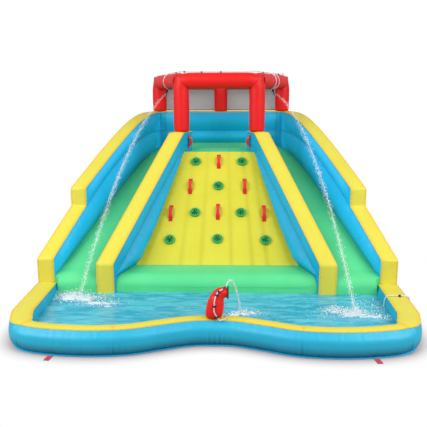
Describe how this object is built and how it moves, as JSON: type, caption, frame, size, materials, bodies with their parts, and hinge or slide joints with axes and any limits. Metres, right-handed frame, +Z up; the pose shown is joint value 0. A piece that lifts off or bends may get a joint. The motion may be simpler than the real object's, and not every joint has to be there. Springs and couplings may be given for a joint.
{
  "type": "inflatable water park",
  "caption": "Inflatable water park: splash pool, slides beside a climbing wall, a framed platform with sprayers, a water cannon and an air blower.",
  "frame": {"origin": "on the ground, on the centre line, below the front of the landing cushion", "axes": "+Y from the pool to the back wall and the blower, +X to the right as seen from the pool, +Z up"},
  "size_m": [4.1096, 5.3122, 2.5896],
  "materials": {
    "blue_fabric": "satin coated fabric",
    "yellow_fabric": "satin coated fabric",
    "green_fabric": "satin coated fabric",
    "red_fabric": "satin coated fabric",
    "red_webbing": "woven",
    "netting": "knotted cord",
    "base_sheet": "coated fabric",
    "clear_hose": "clear vinyl",
    "black_plastic": "satin",
    "yellow_plastic": "satin",
    "green_plastic": "satin",
    "motor_steel": "painted"
  },
  "bodies": {
    "park": {"base_sheet": "base_sheet", "pool_wall": "blue_fabric", "pool_band": "yellow_fabric", "side_wall_lower_left": "blue_fabric", "side_wall_lower_right": "blue_fabric", "side_wall_upper_left": "blue_fabric", "side_wall_upper_right": "blue_fabric", "rim_band": "yellow_fabric", "back_wall": "blue_fabric", "divider_wall_left": "blue_fabric", "divider_wall_right": "blue_fabric", "divider_band_left": "yellow_fabric", "divider_band_right": "yellow_fabric", "slide_left": "green_fabric", "slide_right": "green_fabric", "climbing_wall": "yellow_fabric", "landing_cushion": "green_fabric", "platform": "green_fabric", "front_arch": "red_fabric", "rear_arch": "red_fabric", "rear_centre_post": "red_fabric", "side_beam_left": "red_fabric", "side_beam_right": "red_fabric", "safety_net": "netting", "hold_1": "green_fabric", "hold_2": "green_fabric", "hold_3": "green_fabric", "hold_4": "green_fabric", "hold_5": "green_fabric", "hold_6": "green_fabric", "hold_7": "green_fabric", "hold_8": "green_fabric", "climb_handle_1": "red_webbing", "climb_handle_2": "red_webbing", "climb_handle_3": "red_webbing", "climb_handle_4": "red_webbing", "climb_handle_5": "red_webbing", "climb_handle_6": "red_webbing", "entry_handle_left": "red_webbing", "entry_handle_right": "red_webbing", "pool_hose": "clear_hose", "riser_hose": "clear_hose", "frame_hose": "clear_hose", "hose_tee": "black_plastic", "spray_mount_left": "black_plastic", "spray_mount_right": "black_plastic", "blower_housing_front": "yellow_plastic", "blower_housing_back": "yellow_plastic", "blower_grille": "green_plastic", "blower_outlet_collar": "yellow_plastic", "blower_motor": "motor_steel", "inflation_tube": "yellow_fabric"},
    "cannon": {"water_cannon": "red_fabric", "cannon_mouth_ring": "black_plastic", "cannon_hose": "clear_hose"},
    "impeller": {"blower_impeller": "black_plastic"},
    "switch": {"blower_switch": "black_plastic"},
    "coupling": {"hose_coupling": "yellow_plastic"},
    "nozzle_left": {"spray_nozzle_left": "black_plastic"},
    "nozzle_right": {"spray_nozzle_right": "black_plastic"}
  },
  "joints": [
    {"name": "cannon_turn", "type": "hinge", "parent": "park", "child": "cannon", "pos_m": [0, -1.02, 0.2646], "axis": [0, 0, 1], "range_deg": [-35, 35], "stiffness_Nm_per_rad": 0.6},
    {"name": "spray_tilt_left", "type": "hinge", "parent": "park", "child": "nozzle_left", "pos_m": [-0.7379, 2.2301, 2.3223], "axis": [-0.3463, 0.9376, -0.0321], "range_deg": [-30, 30]},
    {"name": "spray_tilt_right", "type": "hinge", "parent": "park", "child": "nozzle_right", "pos_m": [0.7379, 2.2301, 2.3223], "axis": [0.3463, 0.9376, -0.0321], "range_deg": [-30, 30]},
    {"name": "coupling_spin", "type": "hinge", "parent": "park", "child": "coupling", "pos_m": [1.018, 3.03, 0.05], "axis": [1, 0, 0], "continuous": true},
    {"name": "impeller_spin", "type": "hinge", "parent": "park", "child": "impeller", "pos_m": [-0.45, 3.6613, 0.21], "axis": [1, 0, 0], "continuous": true},
    {"name": "switch_rock", "type": "hinge", "parent": "park", "child": "switch", "pos_m": [-0.523, 3.6613, 0.303], "axis": [0, 0, 1], "range_deg": [-8, 8]}
  ]
}
